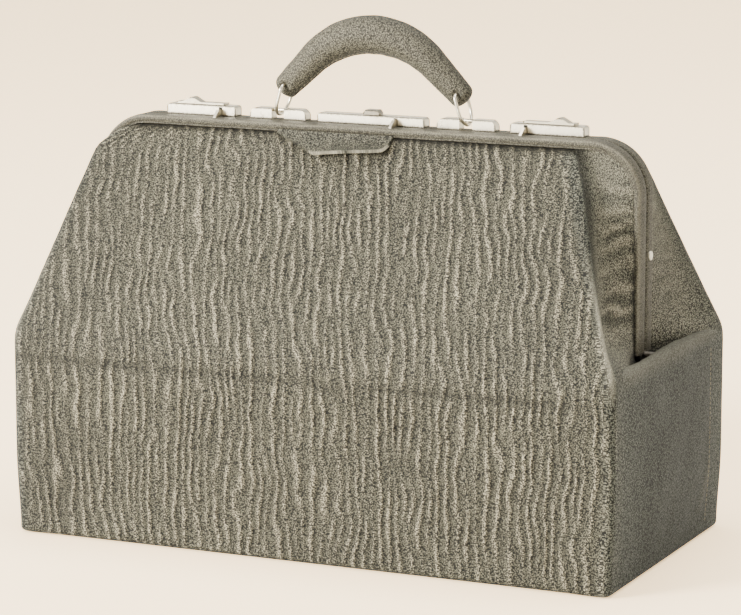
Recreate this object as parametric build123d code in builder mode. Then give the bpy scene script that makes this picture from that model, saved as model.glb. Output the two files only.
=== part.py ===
from build123d import *
import os
from math import atan2, cos, degrees, hypot, radians, sin, sqrt

# Frame-top travelling bag: a leather tub, two hinged half-frames with their leather, a handle and catches.
# X runs along the bag, the front faces -Y and Z is up. The origin is the middle of the base.
# Lengths are in millimetres and angles in degrees.

parts_folder = "parts"

# Overall sizes: the frame stands inside the ends, and its hinges are just below the waist
bag_length = 457
bag_width = 226
waist_height = 153
frame_height = 298
frame_inset = 16.5
half_frame_depth = 13.5
hinge_drop = 5

# Clearances shared by all pieces
moving_gap = 0.3
pin_gap = 0.1

# Lower leather, board and lining
leather = 3
tub_corner_radius = 9
wall_return = 26
rim_bevel = 2.2
end_fold_reach = 7.5
end_fold_radius = 6.5
board_thickness = 4
lining_cloth = 1

# Upper leather: the line of a panel's fold, drawn up to the frame, ends inside or outside its straight top
front_right_fold_inset = 16
fold_outset = 28
panel_foot_setback = 6.5
gusset_foot_gap = 1.5
skived_edge = 1
corner_height_shares = (0, 0.4, 0.75)
front_tuck_share = 0.25
rear_tuck_share = 0.06
skived_fold_share = 0.3

# Pull tab on the front panel
tab_width = 84
tab_offset = -16
tab_seat = 7
tab_flare_length = 17
tab_flare_angle = 16
tab_thickness = 2.6
tab_corner_radius = 7

# Half-frames and their hinges
frame_face = 6
frame_corner_radius = 38
binding = 1.5
ear_radius = 6.5
ear_clearance = 1
pin_radius = 2
hinge_boss_radius = 4.5
hinge_head_radius = 4.5
hinge_head_height = 1.8

# Rivets in the rear legs
leg_rivet_share = 0.5885
leg_rivet_radius = 1.5
leg_rivet_head_radius = 3.4
leg_rivet_head_height = 1.4

# Staples that carry the handle rings, set out along the straight top of the frame like all its hardware
staple_place_share = 0.4253
staple_length_share = 0.1293
staple_depth = 9
staple_height = 7.8
staple_end_radius = 5.5
staple_notch = 10
staple_bar_radius = 1.4
staple_bar_height = 6.4

# Handle and rings: the handle spans the staples, with its ends this far above them
handle_arc_radius_share = 0.9054
handle_end_run_share = 0.5
handle_arc_angle = 44
handle_end_rise = 12.4
handle_end_round = 4
handle_thickness = 27.5
handle_depth = 26
handle_taper_shares = {0: 1, 0.5: 0.945, 1: 0.805}
handle_end_thickness = 17.5
handle_end_depth = 14.5
ring_wire_radius = 1.2
ring_width = 22
ring_corner_radius = 4
ring_hole_setback = 7.7
ring_hole_gap = 0.4

# Sliding catches and lock: one works mechanism in three cases
case_depth = 10.5
case_wall = 1.1
case_end_radius = 2.5
tongue_width = 4.4
tongue_height = 2
neck_length = 6
neck_width = 3
plate_thickness = 1.2
plate_width = 8
keeper_thickness = 2
keeper_metal = 1
keeper_root_front = 9
keeper_root_back = 3
keeper_tenon = 4
keeper_room = 0.5

# Side catches, with places along the case in shares of its length
catch_place_share = 0.7816
catch_length_share = 0.1609
catch_height = 7.5
catch_keeper_share = 0.2857
catch_knob_share = -0.152
catch_plate_tail_share = 0.214
catch_plate_lead_share = 0.482
catch_knob_length = 15
catch_knob_height = 3.5
catch_knob_top_share = 0.12
catch_travel = 8

# Centre lock
lock_length_share = 0.2414
lock_height = 6.8
lock_keeper_share = 0.238
lock_knob_length = 12.5
lock_knob_height = 2.2
lock_knob_top_share = 0.7
lock_travel = 7

# Places worked out from the sizes above
half_length = bag_length / 2
half_width = bag_width / 2
half_gap = moving_gap / 2
hinge_height = waist_height - hinge_drop
frame_length = bag_length - 2 * frame_inset
end_inside = half_width - wall_return
board_top = leather + board_thickness
inside_length = bag_length - 2 * leather
inside_width = bag_width - 2 * leather
inside_corner = tub_corner_radius - leather
lining_top = hinge_height - hinge_boss_radius - moving_gap
leg_foot = hinge_height + ear_radius + ear_clearance
leg_outside = frame_length / 2
leg_inside = leg_outside - frame_face
bar_outside = leg_outside - binding
bar_depth = half_frame_depth - half_gap - binding
bar_underside = frame_height - frame_face
ear_thickness = (bar_outside - leg_inside - moving_gap) / 2
arch_centre_height = frame_height - frame_corner_radius
arch_centre_place = leg_outside - frame_corner_radius
arch_middle_radius = frame_corner_radius - frame_face / 2
arch_inside_radius = frame_corner_radius - frame_face
straight_top = 2 * arch_centre_place
leg_rivet_height = leg_foot + (arch_centre_height - leg_foot) * leg_rivet_share
front_right_top_half = arch_centre_place - front_right_fold_inset
top_half = arch_centre_place + fold_outset
panel_foot_height = waist_height + moving_gap
panel_foot_half = half_length - end_fold_reach - gusset_foot_gap
panel_foot_depth = panel_foot_setback - half_width
panel_rise = bar_underside - panel_foot_height
panel_run = -half_frame_depth - panel_foot_depth
gusset_top = bar_underside - skived_edge
leather_across = leather * hypot(panel_rise, panel_run) / panel_rise
hardware_line = half_frame_depth / 2
staple_place = arch_centre_place * staple_place_share
staple_length = straight_top * staple_length_share
catch_place = arch_centre_place * catch_place_share
catch_length = straight_top * catch_length_share
catch_keeper_place = catch_length * catch_keeper_share
catch_knob_place = catch_length * catch_knob_share
catch_plate_tail = catch_length * catch_plate_tail_share
catch_plate_lead = catch_length * catch_plate_lead_share
lock_length = straight_top * lock_length_share
lock_keeper_place = lock_length * lock_keeper_share

os.makedirs(parts_folder, exist_ok=True)


def save(part, name):
    part.label = name
    export_step(part, f"{parts_folder}/{name}.step")


def between(low, high, share):
    return low + (high - low) * share


# Lower leather: base, two walls that wrap the corners, and two ends with a rolled top fold
with BuildPart() as bottom_panel:
    with BuildSketch():
        RectangleRounded(bag_length, bag_width, tub_corner_radius)
    extrude(amount=leather)
save(bottom_panel.part, "bottom_panel")

with BuildPart() as front_wall:
    with BuildSketch(Plane.XY.offset(leather)):
        RectangleRounded(bag_length, bag_width, tub_corner_radius)
        RectangleRounded(inside_length, inside_width, inside_corner, mode=Mode.SUBTRACT)
    extrude(amount=waist_height - leather)
    rim = front_wall.faces().sort_by(Axis.Z)[-1]
    chamfer(rim.outer_wire().edges(), rim_bevel)
    split(bisect_by=Plane.XZ.offset(end_inside), keep=Keep.TOP)
save(front_wall.part, "front_wall")

rear_wall = mirror(front_wall.part, about=Plane.XZ)
save(rear_wall, "rear_wall")

with BuildPart() as right_end:
    fold_inside = half_length - end_fold_reach
    plate_inside = half_length - leather
    with BuildSketch(Plane.XZ) as end_profile:
        with BuildLine():
            Polyline(
                (half_length, leather),
                (half_length, waist_height),
                (fold_inside, waist_height),
                (fold_inside, waist_height - leather),
                (plate_inside, waist_height - leather),
                (plate_inside, leather),
                close=True,
            )
        make_face()
        outer_corner = end_profile.vertices().group_by(Axis.Y)[-1].sort_by(Axis.X)[-1]
        inner_corner = end_profile.vertices().group_by(Axis.Y)[-2].sort_by(Axis.X)[-1]
        fillet(inner_corner, end_fold_radius - leather)
        fillet(outer_corner, end_fold_radius)
    extrude(amount=end_inside, both=True)
    # Boss behind the fold that the hinge rivet is set in
    boss_start = bar_outside + moving_gap
    with BuildSketch(Plane.YZ.offset(boss_start)):
        with Locations((0, hinge_height)):
            Circle(hinge_boss_radius)
    extrude(amount=plate_inside - boss_start)
    with BuildSketch(Plane.YZ.offset(boss_start)):
        with Locations((0, hinge_height)):
            Circle(pin_radius + pin_gap)
    extrude(amount=plate_inside - boss_start, mode=Mode.SUBTRACT)
save(right_end.part, "right_end")

left_end = mirror(right_end.part, about=Plane.YZ)
save(left_end, "left_end")

with BuildPart() as base_board:
    with BuildSketch(Plane.XY.offset(leather)):
        RectangleRounded(inside_length, inside_width, inside_corner)
    extrude(amount=board_thickness)
save(base_board.part, "base_board")

with BuildPart() as lining:
    with BuildSketch(Plane.XY.offset(board_top)):
        RectangleRounded(inside_length, inside_width, inside_corner)
    extrude(amount=lining_top - board_top)
    offset(amount=-lining_cloth, openings=lining.faces().sort_by(Axis.Z)[-1])
save(lining.part, "lining")


# Upper leather: a leaning panel on each half-frame and a gusset at each of its ends
fold_heights = [panel_foot_height]
for share in corner_height_shares:
    fold_heights.append(between(arch_centre_height, gusset_top, share))


def leg_place(height, radius):
    # Half-length of the frame at a height, on this radius of its corner: a straight leg, then the arc
    rise = max(0, height - arch_centre_height)
    return arch_centre_place + sqrt(max(0, radius**2 - rise**2))


def fold_point(height, panel_top_half):
    # Half-length and depth of a panel's outer edge at a height, and the mitre on its inner edge
    share = (height - panel_foot_height) / panel_rise
    place = between(panel_foot_half, panel_top_half, share)
    if height > arch_centre_height:
        place = min(place, leg_place(height, arch_inside_radius))
    depth = between(panel_foot_depth, -half_frame_depth, share)
    top_mitre = leather if panel_top_half > arch_centre_place else 0
    return place, depth, between(leather, top_mitre, share)


def upper_panel(left_top_half, right_top_half):
    with BuildPart() as panel:
        for height in fold_heights + [bar_underside]:
            left, depth, left_mitre = fold_point(height, left_top_half)
            right, depth, right_mitre = fold_point(height, right_top_half)
            inner_depth = depth + leather_across
            with BuildSketch(Plane.XY.offset(height)):
                with BuildLine():
                    Polyline(
                        (-left, depth),
                        (right, depth),
                        (right - right_mitre, inner_depth),
                        (left_mitre - left, inner_depth),
                        close=True,
                    )
                make_face()
        loft(ruled=True)
    return panel.part


def upper_gusset(panel_top_half, tuck_share):
    # Leather from the panel's edge to the frame's leg, with a fold inwards halfway
    with BuildPart() as gusset:
        for height in fold_heights:
            place, depth, mitre = fold_point(height, panel_top_half)
            leg = leg_place(height, arch_middle_radius)
            edge = Vector(place, depth)
            span = Vector(leg, -half_frame_depth) - edge
            fold = edge + span / 2 - Vector(span.Y * tuck_share, 0)
            fold_back = fold + Vector(-span.Y, span.X) * (leather / span.length)
            with BuildSketch(Plane.XY.offset(height)):
                with BuildLine():
                    Polyline(
                        (place, depth),
                        (fold.X, fold.Y),
                        (leg + leather / 2, -half_frame_depth),
                        (leg - leather / 2, -half_frame_depth),
                        (fold_back.X, fold_back.Y),
                        (place - mitre, depth + leather_across),
                        close=True,
                    )
                make_face()
        # The leather is thinned to an edge where it passes under the corner of the frame
        place, depth, mitre = fold_point(gusset_top, panel_top_half)
        leg = leg_place(gusset_top, arch_middle_radius)
        middle = (place + leg) / 2
        skive = (-half_frame_depth - depth) * skived_fold_share
        with BuildSketch(Plane.XY.offset(gusset_top)):
            with BuildLine():
                Polyline(
                    (place, depth),
                    (middle, depth + skive),
                    (leg, depth),
                    (leg, -half_frame_depth),
                    (middle, -half_frame_depth - skive),
                    (place, -half_frame_depth),
                    close=True,
                )
            make_face()
        loft(ruled=True)
    return gusset.part


save(upper_panel(top_half, front_right_top_half), "front_panel")
save(mirror(upper_panel(top_half, top_half), about=Plane.XZ), "rear_panel")

front_right_gusset = upper_gusset(front_right_top_half, front_tuck_share)
save(front_right_gusset, "front_right_gusset")
front_left_gusset = mirror(upper_gusset(top_half, front_tuck_share), about=Plane.YZ)
save(front_left_gusset, "front_left_gusset")
rear_right_gusset = mirror(upper_gusset(top_half, rear_tuck_share), about=Plane.XZ)
save(rear_right_gusset, "rear_right_gusset")
rear_left_gusset = mirror(rear_right_gusset, about=Plane.YZ)
save(rear_left_gusset, "rear_left_gusset")

# Pull tab: flat on the panel under the frame, then flared away from it
with BuildPart() as front_tab:
    panel_angle = degrees(atan2(-panel_rise, -panel_run))
    flare_angle = panel_angle - tab_flare_angle
    with BuildSketch(Plane.YZ.offset(tab_offset - tab_width / 2)):
        with BuildLine():
            seat = PolarLine((-half_frame_depth, bar_underside), tab_seat, angle=panel_angle)
            flare = PolarLine(seat @ 1, tab_flare_length, angle=flare_angle)
            edge = PolarLine(flare @ 1, tab_thickness, angle=flare_angle - 90)
            outer_bend = seat @ 1 + (edge @ 1 - flare @ 1)
            outer_top = seat @ 0 + (edge @ 1 - flare @ 1)
            Polyline(edge @ 1, outer_bend, outer_top, seat @ 0)
        make_face()
    extrude(amount=tab_width)
    tab_tips = front_tab.edges().filter_by(lambda e: abs(e.length - tab_thickness) < moving_gap)
    fillet(tab_tips.group_by(Axis.Z)[0], tab_corner_radius)
save(front_tab.part, "front_tab")


# Half-frames: a steel arch with an ear at each foot, and the leather that binds it
def arch_outline(inset):
    # Filled outline of the arch, this far inside the frame's outer edge
    with BuildSketch() as outline:
        with Locations((0, leg_foot)):
            Rectangle(
                frame_length - 2 * inset,
                frame_height - inset - leg_foot,
                align=(Align.CENTER, Align.MIN),
            )
        fillet(outline.vertices().group_by(Axis.Y)[-1], frame_corner_radius - inset)
    return outline.sketch


frame_outline = arch_outline(0)
bar_outline = arch_outline(binding)
frame_opening = arch_outline(frame_face)


def keeper_slots(places):
    # Slots in the top of the front half that the keepers' roots stand in
    for place in places:
        with Locations((place, -(keeper_root_front + keeper_root_back) / 2, frame_height)):
            Box(
                keeper_thickness,
                keeper_root_front - keeper_root_back,
                2 * keeper_tenon,
                mode=Mode.SUBTRACT,
            )


def rivet_holes():
    # Holes through both legs for the leg rivets
    with Locations((0, -hardware_line, leg_rivet_height)):
        Cylinder(
            leg_rivet_radius + pin_gap,
            frame_length,
            rotation=(0, 90, 0),
            mode=Mode.SUBTRACT,
        )


def half_frame_bar(ear_start):
    # Steel arch, drawn as the front half
    with BuildPart() as bar:
        with BuildSketch(Plane.XZ.offset(half_gap)):
            add(bar_outline)
            add(frame_opening, mode=Mode.SUBTRACT)
        extrude(amount=bar_depth)
        neck_back = half_gap + ear_clearance
        neck_depth = bar_depth + half_gap - neck_back
        for start in (ear_start, -ear_start - ear_thickness):
            with BuildSketch(Plane.YZ.offset(start)):
                with Locations((0, hinge_height)):
                    Circle(ear_radius)
                with Locations((-neck_back, leg_foot)):
                    Rectangle(neck_depth, ear_clearance, align=(Align.MAX, Align.MAX))
                make_hull()
                with Locations((0, hinge_height)):
                    Circle(pin_radius + pin_gap, mode=Mode.SUBTRACT)
            extrude(amount=ear_thickness)
    return bar


def half_frame_binding():
    # Leather over the top and front of the arch, drawn as the front half
    with BuildPart() as cover:
        with BuildSketch(Plane.XZ.offset(half_gap)):
            add(frame_outline)
            add(frame_opening, mode=Mode.SUBTRACT)
        extrude(amount=half_frame_depth - half_gap)
        with BuildSketch(Plane.XZ.offset(half_gap)):
            add(bar_outline)
        extrude(amount=bar_depth, mode=Mode.SUBTRACT)
    return cover


keeper_places = (
    catch_keeper_place - catch_place,
    lock_keeper_place,
    catch_place - catch_keeper_place,
)

with BuildPart() as front_frame_bar:
    add(half_frame_bar(leg_inside).part)
    keeper_slots(keeper_places)
save(front_frame_bar.part, "front_frame_bar")

with BuildPart() as front_frame_binding:
    add(half_frame_binding().part)
    keeper_slots(keeper_places)
save(front_frame_binding.part, "front_frame_binding")

with BuildPart() as rear_bar_drawn:
    add(half_frame_bar(bar_outside - ear_thickness).part)
    rivet_holes()
rear_frame_bar = mirror(rear_bar_drawn.part, about=Plane.XZ)
save(rear_frame_bar, "rear_frame_bar")

with BuildPart() as rear_binding_drawn:
    add(half_frame_binding().part)
    rivet_holes()
rear_frame_binding = mirror(rear_binding_drawn.part, about=Plane.XZ)
save(rear_frame_binding, "rear_frame_binding")

# Hinge rivets: a head inside the bag, a shank through both ears and into the end's boss
with BuildPart() as right_hinge_rivet:
    head_start = leg_inside - moving_gap - hinge_head_height
    with BuildSketch(Plane.YZ.offset(head_start)):
        with Locations((0, hinge_height)):
            Circle(hinge_head_radius)
    extrude(amount=hinge_head_height)
    fillet(right_hinge_rivet.edges().group_by(Axis.X)[0], hinge_head_height / 2)
    with BuildSketch(Plane.YZ.offset(head_start)):
        with Locations((0, hinge_height)):
            Circle(pin_radius)
    extrude(amount=half_length - leather - head_start)
save(right_hinge_rivet.part, "right_hinge_rivet")

left_hinge_rivet = mirror(right_hinge_rivet.part, about=Plane.YZ)
save(left_hinge_rivet, "left_hinge_rivet")

# Rivets through the rear legs, with a low domed head outside
with BuildPart() as leg_rivets:
    with BuildSketch(Plane.YZ.offset(leg_outside)):
        with Locations((hardware_line, leg_rivet_height)):
            Circle(leg_rivet_head_radius)
    extrude(amount=leg_rivet_head_height)
    fillet(leg_rivets.edges().group_by(Axis.X)[-1], leg_rivet_head_height / 2)
    with BuildSketch(Plane.YZ.offset(leg_inside)):
        with Locations((hardware_line, leg_rivet_height)):
            Circle(leg_rivet_radius)
    extrude(amount=frame_face)
    mirror(about=Plane.YZ)
save(leg_rivets.part, "leg_rivets")

# Staples on the rear half: a block with a notch in the middle, bridged by the bar that the ring hangs on
staple_bar_place = frame_height + staple_bar_height
with BuildPart() as right_staple:
    with BuildSketch(Plane.XZ.offset(-hardware_line)) as staple_profile:
        with Locations((staple_place, frame_height)):
            Rectangle(staple_length, staple_height, align=(Align.CENTER, Align.MIN))
        fillet(staple_profile.vertices().group_by(Axis.Y)[-1], staple_end_radius)
    extrude(amount=staple_depth / 2, both=True)
    with Locations((staple_place, hardware_line, frame_height)):
        Box(
            staple_notch,
            staple_depth,
            staple_height,
            align=(Align.CENTER, Align.CENTER, Align.MIN),
            mode=Mode.SUBTRACT,
        )
    with BuildSketch(Plane.YZ.offset(staple_place)):
        with Locations((hardware_line, staple_bar_place)):
            Circle(staple_bar_radius)
    extrude(amount=staple_notch / 2, both=True)
save(right_staple.part, "right_staple")

left_staple = mirror(right_staple.part, about=Plane.YZ)
save(left_staple, "left_staple")

# Handle: padded leather over a core, drawn through ellipses along an arc with straight ends
handle_arc_radius = staple_place * handle_arc_radius_share
handle_end_run = staple_place * handle_end_run_share
handle_end_height = frame_height + staple_height + handle_end_rise
arc_end_height = handle_end_height + handle_end_run * sin(radians(handle_arc_angle))
arc_centre_height = arc_end_height - handle_arc_radius * cos(radians(handle_arc_angle))
arc_end = Vector(
    handle_arc_radius * sin(radians(handle_arc_angle)),
    hardware_line,
    arc_end_height,
)
end_direction = Vector(cos(radians(handle_arc_angle)), 0, -sin(radians(handle_arc_angle)))
handle_end = arc_end + end_direction * handle_end_run
ring_hole = handle_end - end_direction * ring_hole_setback


def handle_planes():
    # Planes across the handle from its left end to its right end, with the thickness and depth there
    stations = []
    for arc_share, taper_share in handle_taper_shares.items():
        angle = radians(handle_arc_angle * arc_share)
        place = handle_arc_radius * sin(angle)
        height = arc_centre_height + handle_arc_radius * cos(angle)
        size = (handle_thickness * taper_share, handle_depth * taper_share)
        stations.append((place, height, angle, size))
    end_size = (handle_end_thickness, handle_end_depth)
    stations.append((handle_end.X, handle_end.Z, radians(handle_arc_angle), end_size))
    both_sides = [(-place, height, -angle, size) for place, height, angle, size in stations[:0:-1]]
    for place, height, angle, size in both_sides + stations:
        across = (sin(angle), 0, cos(angle))
        along = (cos(angle), 0, -sin(angle))
        yield Plane((place, hardware_line, height), x_dir=across, z_dir=along), size


with BuildPart() as handle_grip:
    for plane, (thickness, depth) in handle_planes():
        with BuildSketch(plane):
            Ellipse(thickness / 2, depth / 2)
    loft()
    tips = handle_grip.edges().sort_by(Axis.X)
    fillet([tips[0], tips[-1]], handle_end_round)
    with BuildSketch(Plane.XZ.offset(-hardware_line)):
        with Locations((ring_hole.X, ring_hole.Z), (-ring_hole.X, ring_hole.Z)):
            Circle(ring_wire_radius + ring_hole_gap)
    extrude(amount=handle_depth, both=True, mode=Mode.SUBTRACT)
save(handle_grip.part, "handle_grip")

# Rings: a wire stirrup through the handle's end and under the staple's bar
ring_drop = staple_bar_radius + ring_wire_radius + moving_gap
ring_foot = Vector(staple_place, hardware_line, staple_bar_place - ring_drop)
ring_rise = ring_hole - ring_foot
with BuildPart() as right_ring:
    ring_plane = Plane(ring_foot, x_dir=(0, 1, 0), z_dir=Vector(0, 1, 0).cross(ring_rise))
    side = ring_width / 2
    top = ring_rise.length
    shoulder = side - ring_corner_radius
    with BuildLine(ring_plane) as ring_line:
        Line((0, top), (shoulder, top))
        RadiusArc((shoulder, top), (side, top - ring_corner_radius), ring_corner_radius)
        Line((side, top - ring_corner_radius), (side, side))
        ThreePointArc((side, side), (0, 0), (-side, side))
        Line((-side, side), (-side, top - ring_corner_radius))
        RadiusArc((-side, top - ring_corner_radius), (-shoulder, top), ring_corner_radius)
        Line((-shoulder, top), (0, top))
    with BuildSketch(Plane(ring_line.line @ 0, z_dir=ring_line.line % 0)):
        Circle(ring_wire_radius)
    sweep(path=ring_line.line)
save(right_ring.part, "right_ring")

left_ring = mirror(right_ring.part, about=Plane.YZ)
save(left_ring, "left_ring")

# Catches and lock: a slide in a case on the rear half pushes its tongue through a keeper on the front half
tongue_floor = frame_height + case_wall + moving_gap
tongue_top = tongue_floor + tongue_height
eye_gap = 2 * moving_gap


def works_case(length, height, keeper_place, knob_place, travel):
    # Case about its own middle, with the tongue pushed towards +X
    top = frame_height + height
    tip = keeper_place - keeper_thickness / 2 - eye_gap
    channel_start = knob_place - neck_length / 2 - moving_gap
    channel_end = tip + travel + moving_gap
    with BuildPart() as case:
        with BuildSketch(Plane.XZ.offset(-hardware_line)) as profile:
            with Locations((0, frame_height)):
                Rectangle(length, height, align=(Align.CENTER, Align.MIN))
            fillet(profile.vertices().group_by(Axis.Y)[-1], case_end_radius)
        extrude(amount=case_depth / 2, both=True)
        lower_left = (Align.MIN, Align.CENTER, Align.MIN)
        with Locations((channel_start, hardware_line, tongue_floor - moving_gap)):
            Box(
                channel_end - channel_start,
                tongue_width + 2 * moving_gap,
                tongue_height + 2 * moving_gap,
                align=lower_left,
                mode=Mode.SUBTRACT,
            )
        with Locations((channel_start, hardware_line, tongue_top)):
            Box(
                neck_length + travel + 2 * moving_gap,
                neck_width + 2 * moving_gap,
                top - tongue_top,
                align=lower_left,
                mode=Mode.SUBTRACT,
            )
        notch_back = keeper_back + keeper_room
        with Locations((keeper_place, notch_back, frame_height)):
            Box(
                keeper_thickness + 2 * keeper_room,
                notch_back,
                height - case_wall,
                align=(Align.CENTER, Align.MAX, Align.MIN),
                mode=Mode.SUBTRACT,
            )
    return case.part


def works_slide(
    height, keeper_place, knob_place, plate_tail, plate_lead, knob_length, knob_height, knob_top_share
):
    # Tongue, neck, cover plate and thumb knob in one piece
    plate_floor = frame_height + height + moving_gap
    plate_top = plate_floor + plate_thickness
    tip = keeper_place - keeper_thickness / 2 - eye_gap
    tail = knob_place - neck_length / 2
    lower_left = (Align.MIN, Align.CENTER, Align.MIN)
    with BuildPart() as slide:
        with Locations((tail, hardware_line, tongue_floor)):
            Box(tip - tail, tongue_width, tongue_height, align=lower_left)
        with Locations((tail, hardware_line, tongue_top)):
            Box(neck_length, neck_width, plate_floor - tongue_top, align=lower_left)
        with Locations((knob_place - plate_tail, hardware_line, plate_floor)):
            Box(plate_tail + plate_lead, plate_width, plate_thickness, align=lower_left)
        with BuildSketch(Plane.XZ.offset(-hardware_line)):
            with BuildLine():
                Polyline(
                    (knob_place - knob_length / 2, plate_top),
                    (knob_place + knob_length / 2, plate_top),
                    (knob_place + knob_length * knob_top_share / 2, plate_top + knob_height),
                    (knob_place - knob_length * knob_top_share / 2, plate_top + knob_height),
                    close=True,
                )
            make_face()
        extrude(amount=plate_width / 2, both=True)
    return slide.part


eye_half = tongue_width / 2 + eye_gap
keeper_back = hardware_line + eye_half + keeper_metal


def works_keeper(keeper_place):
    # Hook that the tongue passes under, and a root that stands in the front half
    with BuildPart() as keeper:
        with BuildSketch(Plane.YZ.offset(keeper_place - keeper_thickness / 2)):
            with BuildLine():
                fin_floor = frame_height + moving_gap
                fin_top = tongue_top + eye_gap + keeper_metal
                Polyline(
                    (-keeper_root_front, frame_height - keeper_tenon),
                    (-keeper_root_back, frame_height - keeper_tenon),
                    (-keeper_root_back, fin_floor),
                    (keeper_back, fin_floor),
                    (keeper_back, fin_top),
                    (-keeper_root_back, fin_top),
                    (-keeper_root_front, fin_floor),
                    close=True,
                )
            make_face()
            with Locations((hardware_line, fin_floor)):
                Rectangle(
                    2 * eye_half,
                    tongue_top + eye_gap - fin_floor,
                    align=(Align.CENTER, Align.MIN),
                    mode=Mode.SUBTRACT,
                )
        extrude(amount=keeper_thickness)
    return keeper.part


to_left_catch = Pos(-catch_place, 0, 0)

catch_case = works_case(catch_length, catch_height, catch_keeper_place, catch_knob_place, catch_travel)
left_catch_case = to_left_catch * catch_case
save(left_catch_case, "left_catch_case")
save(mirror(left_catch_case, about=Plane.YZ), "right_catch_case")

catch_slide = works_slide(
    catch_height,
    catch_keeper_place,
    catch_knob_place,
    catch_plate_tail,
    catch_plate_lead,
    catch_knob_length,
    catch_knob_height,
    catch_knob_top_share,
)
left_catch_slide = to_left_catch * catch_slide
save(left_catch_slide, "left_catch_slide")
save(mirror(left_catch_slide, about=Plane.YZ), "right_catch_slide")

left_catch_keeper = to_left_catch * works_keeper(catch_keeper_place)
save(left_catch_keeper, "left_catch_keeper")
save(mirror(left_catch_keeper, about=Plane.YZ), "right_catch_keeper")

lock_case = works_case(lock_length, lock_height, lock_keeper_place, 0, lock_travel)
save(lock_case, "lock_case")
lock_slide = works_slide(
    lock_height,
    lock_keeper_place,
    0,
    lock_knob_length / 2,
    lock_knob_length / 2,
    lock_knob_length,
    lock_knob_height,
    lock_knob_top_share,
)
save(lock_slide, "lock_slide")
save(works_keeper(lock_keeper_place), "lock_keeper")
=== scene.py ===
import math

import bmesh
import bpy
import numpy as np
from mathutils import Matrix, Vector
from mathutils.bvhtree import BVHTree


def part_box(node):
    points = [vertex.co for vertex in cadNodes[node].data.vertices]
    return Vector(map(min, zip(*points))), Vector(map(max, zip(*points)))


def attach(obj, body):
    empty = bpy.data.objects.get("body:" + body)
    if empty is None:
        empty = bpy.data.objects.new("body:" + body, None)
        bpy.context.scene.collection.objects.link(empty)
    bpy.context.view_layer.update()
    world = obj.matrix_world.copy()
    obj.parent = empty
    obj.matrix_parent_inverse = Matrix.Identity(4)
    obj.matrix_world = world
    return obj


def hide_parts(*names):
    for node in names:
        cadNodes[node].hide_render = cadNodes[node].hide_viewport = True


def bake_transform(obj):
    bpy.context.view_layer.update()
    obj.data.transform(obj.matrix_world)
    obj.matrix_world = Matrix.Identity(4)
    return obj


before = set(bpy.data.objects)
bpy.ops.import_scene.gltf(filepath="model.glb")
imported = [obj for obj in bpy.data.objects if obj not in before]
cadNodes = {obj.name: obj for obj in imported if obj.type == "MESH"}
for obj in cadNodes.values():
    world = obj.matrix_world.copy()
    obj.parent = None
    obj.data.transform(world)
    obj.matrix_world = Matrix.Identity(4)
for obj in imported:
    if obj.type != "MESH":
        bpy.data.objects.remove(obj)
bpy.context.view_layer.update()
print("frame loaded:", len(cadNodes), "solids")

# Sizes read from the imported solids, in metres
halfLength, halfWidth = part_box("bottom_panel")[1].xy
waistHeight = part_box("right_end")[1].z
bindingLow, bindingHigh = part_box("front_frame_binding")
frameTop, legOutside, legFoot, frameDepth = bindingHigh.z, bindingHigh.x, bindingLow.z, -bindingLow.y
seamPlace = -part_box("right_end")[0].y          # where the rear wall's edge lies on each end
frameFace, frameCorner = 0.006, 0.038          # width of the frame's face and radius of its outer corners
arcX, arcZ = legOutside - frameCorner, frameTop - frameCorner

weldDistance = 1e-5                            # points closer than this are one
sharpAngle = math.radians(66)                  # edges steeper than this aren't smoothed over
plainRidge = 0.3                               # height of leather that has no wrinkles, where a ridge is 1


def smooth(t):
    t = np.clip(t, 0, 1)
    return t * t * (3 - 2 * t)


def mix(a, b, t):
    return a + (b - a) * t


def softNoise(x, y, seed):                     # smooth noise, about -1 to 1, the same on every run
    cellX, cellY = np.floor(x), np.floor(y)
    inX, inY = x - cellX, y - cellY

    def corner(dx, dy):
        turn = np.sin((cellX + dx) * 127.1 + (cellY + dy) * 311.7 + seed * 74.7) * 43758.5453
        turn = (turn - np.floor(turn)) * 2 * math.pi
        return np.cos(turn) * (inX - dx) + np.sin(turn) * (inY - dy)

    low = mix(corner(0, 0), corner(1, 0), smooth(inX))
    high = mix(corner(0, 1), corner(1, 1), smooth(inX))
    return mix(low, high, smooth(inY)) * 1.5


def fromPrint(red, green, blue):               # a colour as read on a screen, made linear
    return [((c / 255 + 0.055) / 1.055) ** 2.4 if c > 10 else c / 3295 for c in (red, green, blue)] + [1]


def runLengths(places):                        # distance walked along a row of places, from 0
    return np.concatenate([[0], np.cumsum(np.linalg.norm(np.diff(places, axis=0), axis=1))])


def gridNormals(points):
    normals = np.cross(np.gradient(points, axis=1), np.gradient(points, axis=0))
    return normals / np.maximum(np.linalg.norm(normals, axis=2, keepdims=True), 1e-12)


def flatten(u, v, scale=1.0):                  # places on the leather as if it lay flat, for its grain
    return scale * np.stack([u, v, 0 * u], axis=-1)


def turnGrid(grid, signs):                     # mirrors a grid and keeps its faces outwards
    grid["points"] = grid["points"] * np.array(signs)
    for key in grid:
        grid[key] = grid[key][:, ::-1]


def addPiece(name, data):
    piece = bpy.data.objects.new(name, data)
    bpy.context.scene.collection.objects.link(piece)
    return piece


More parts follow.
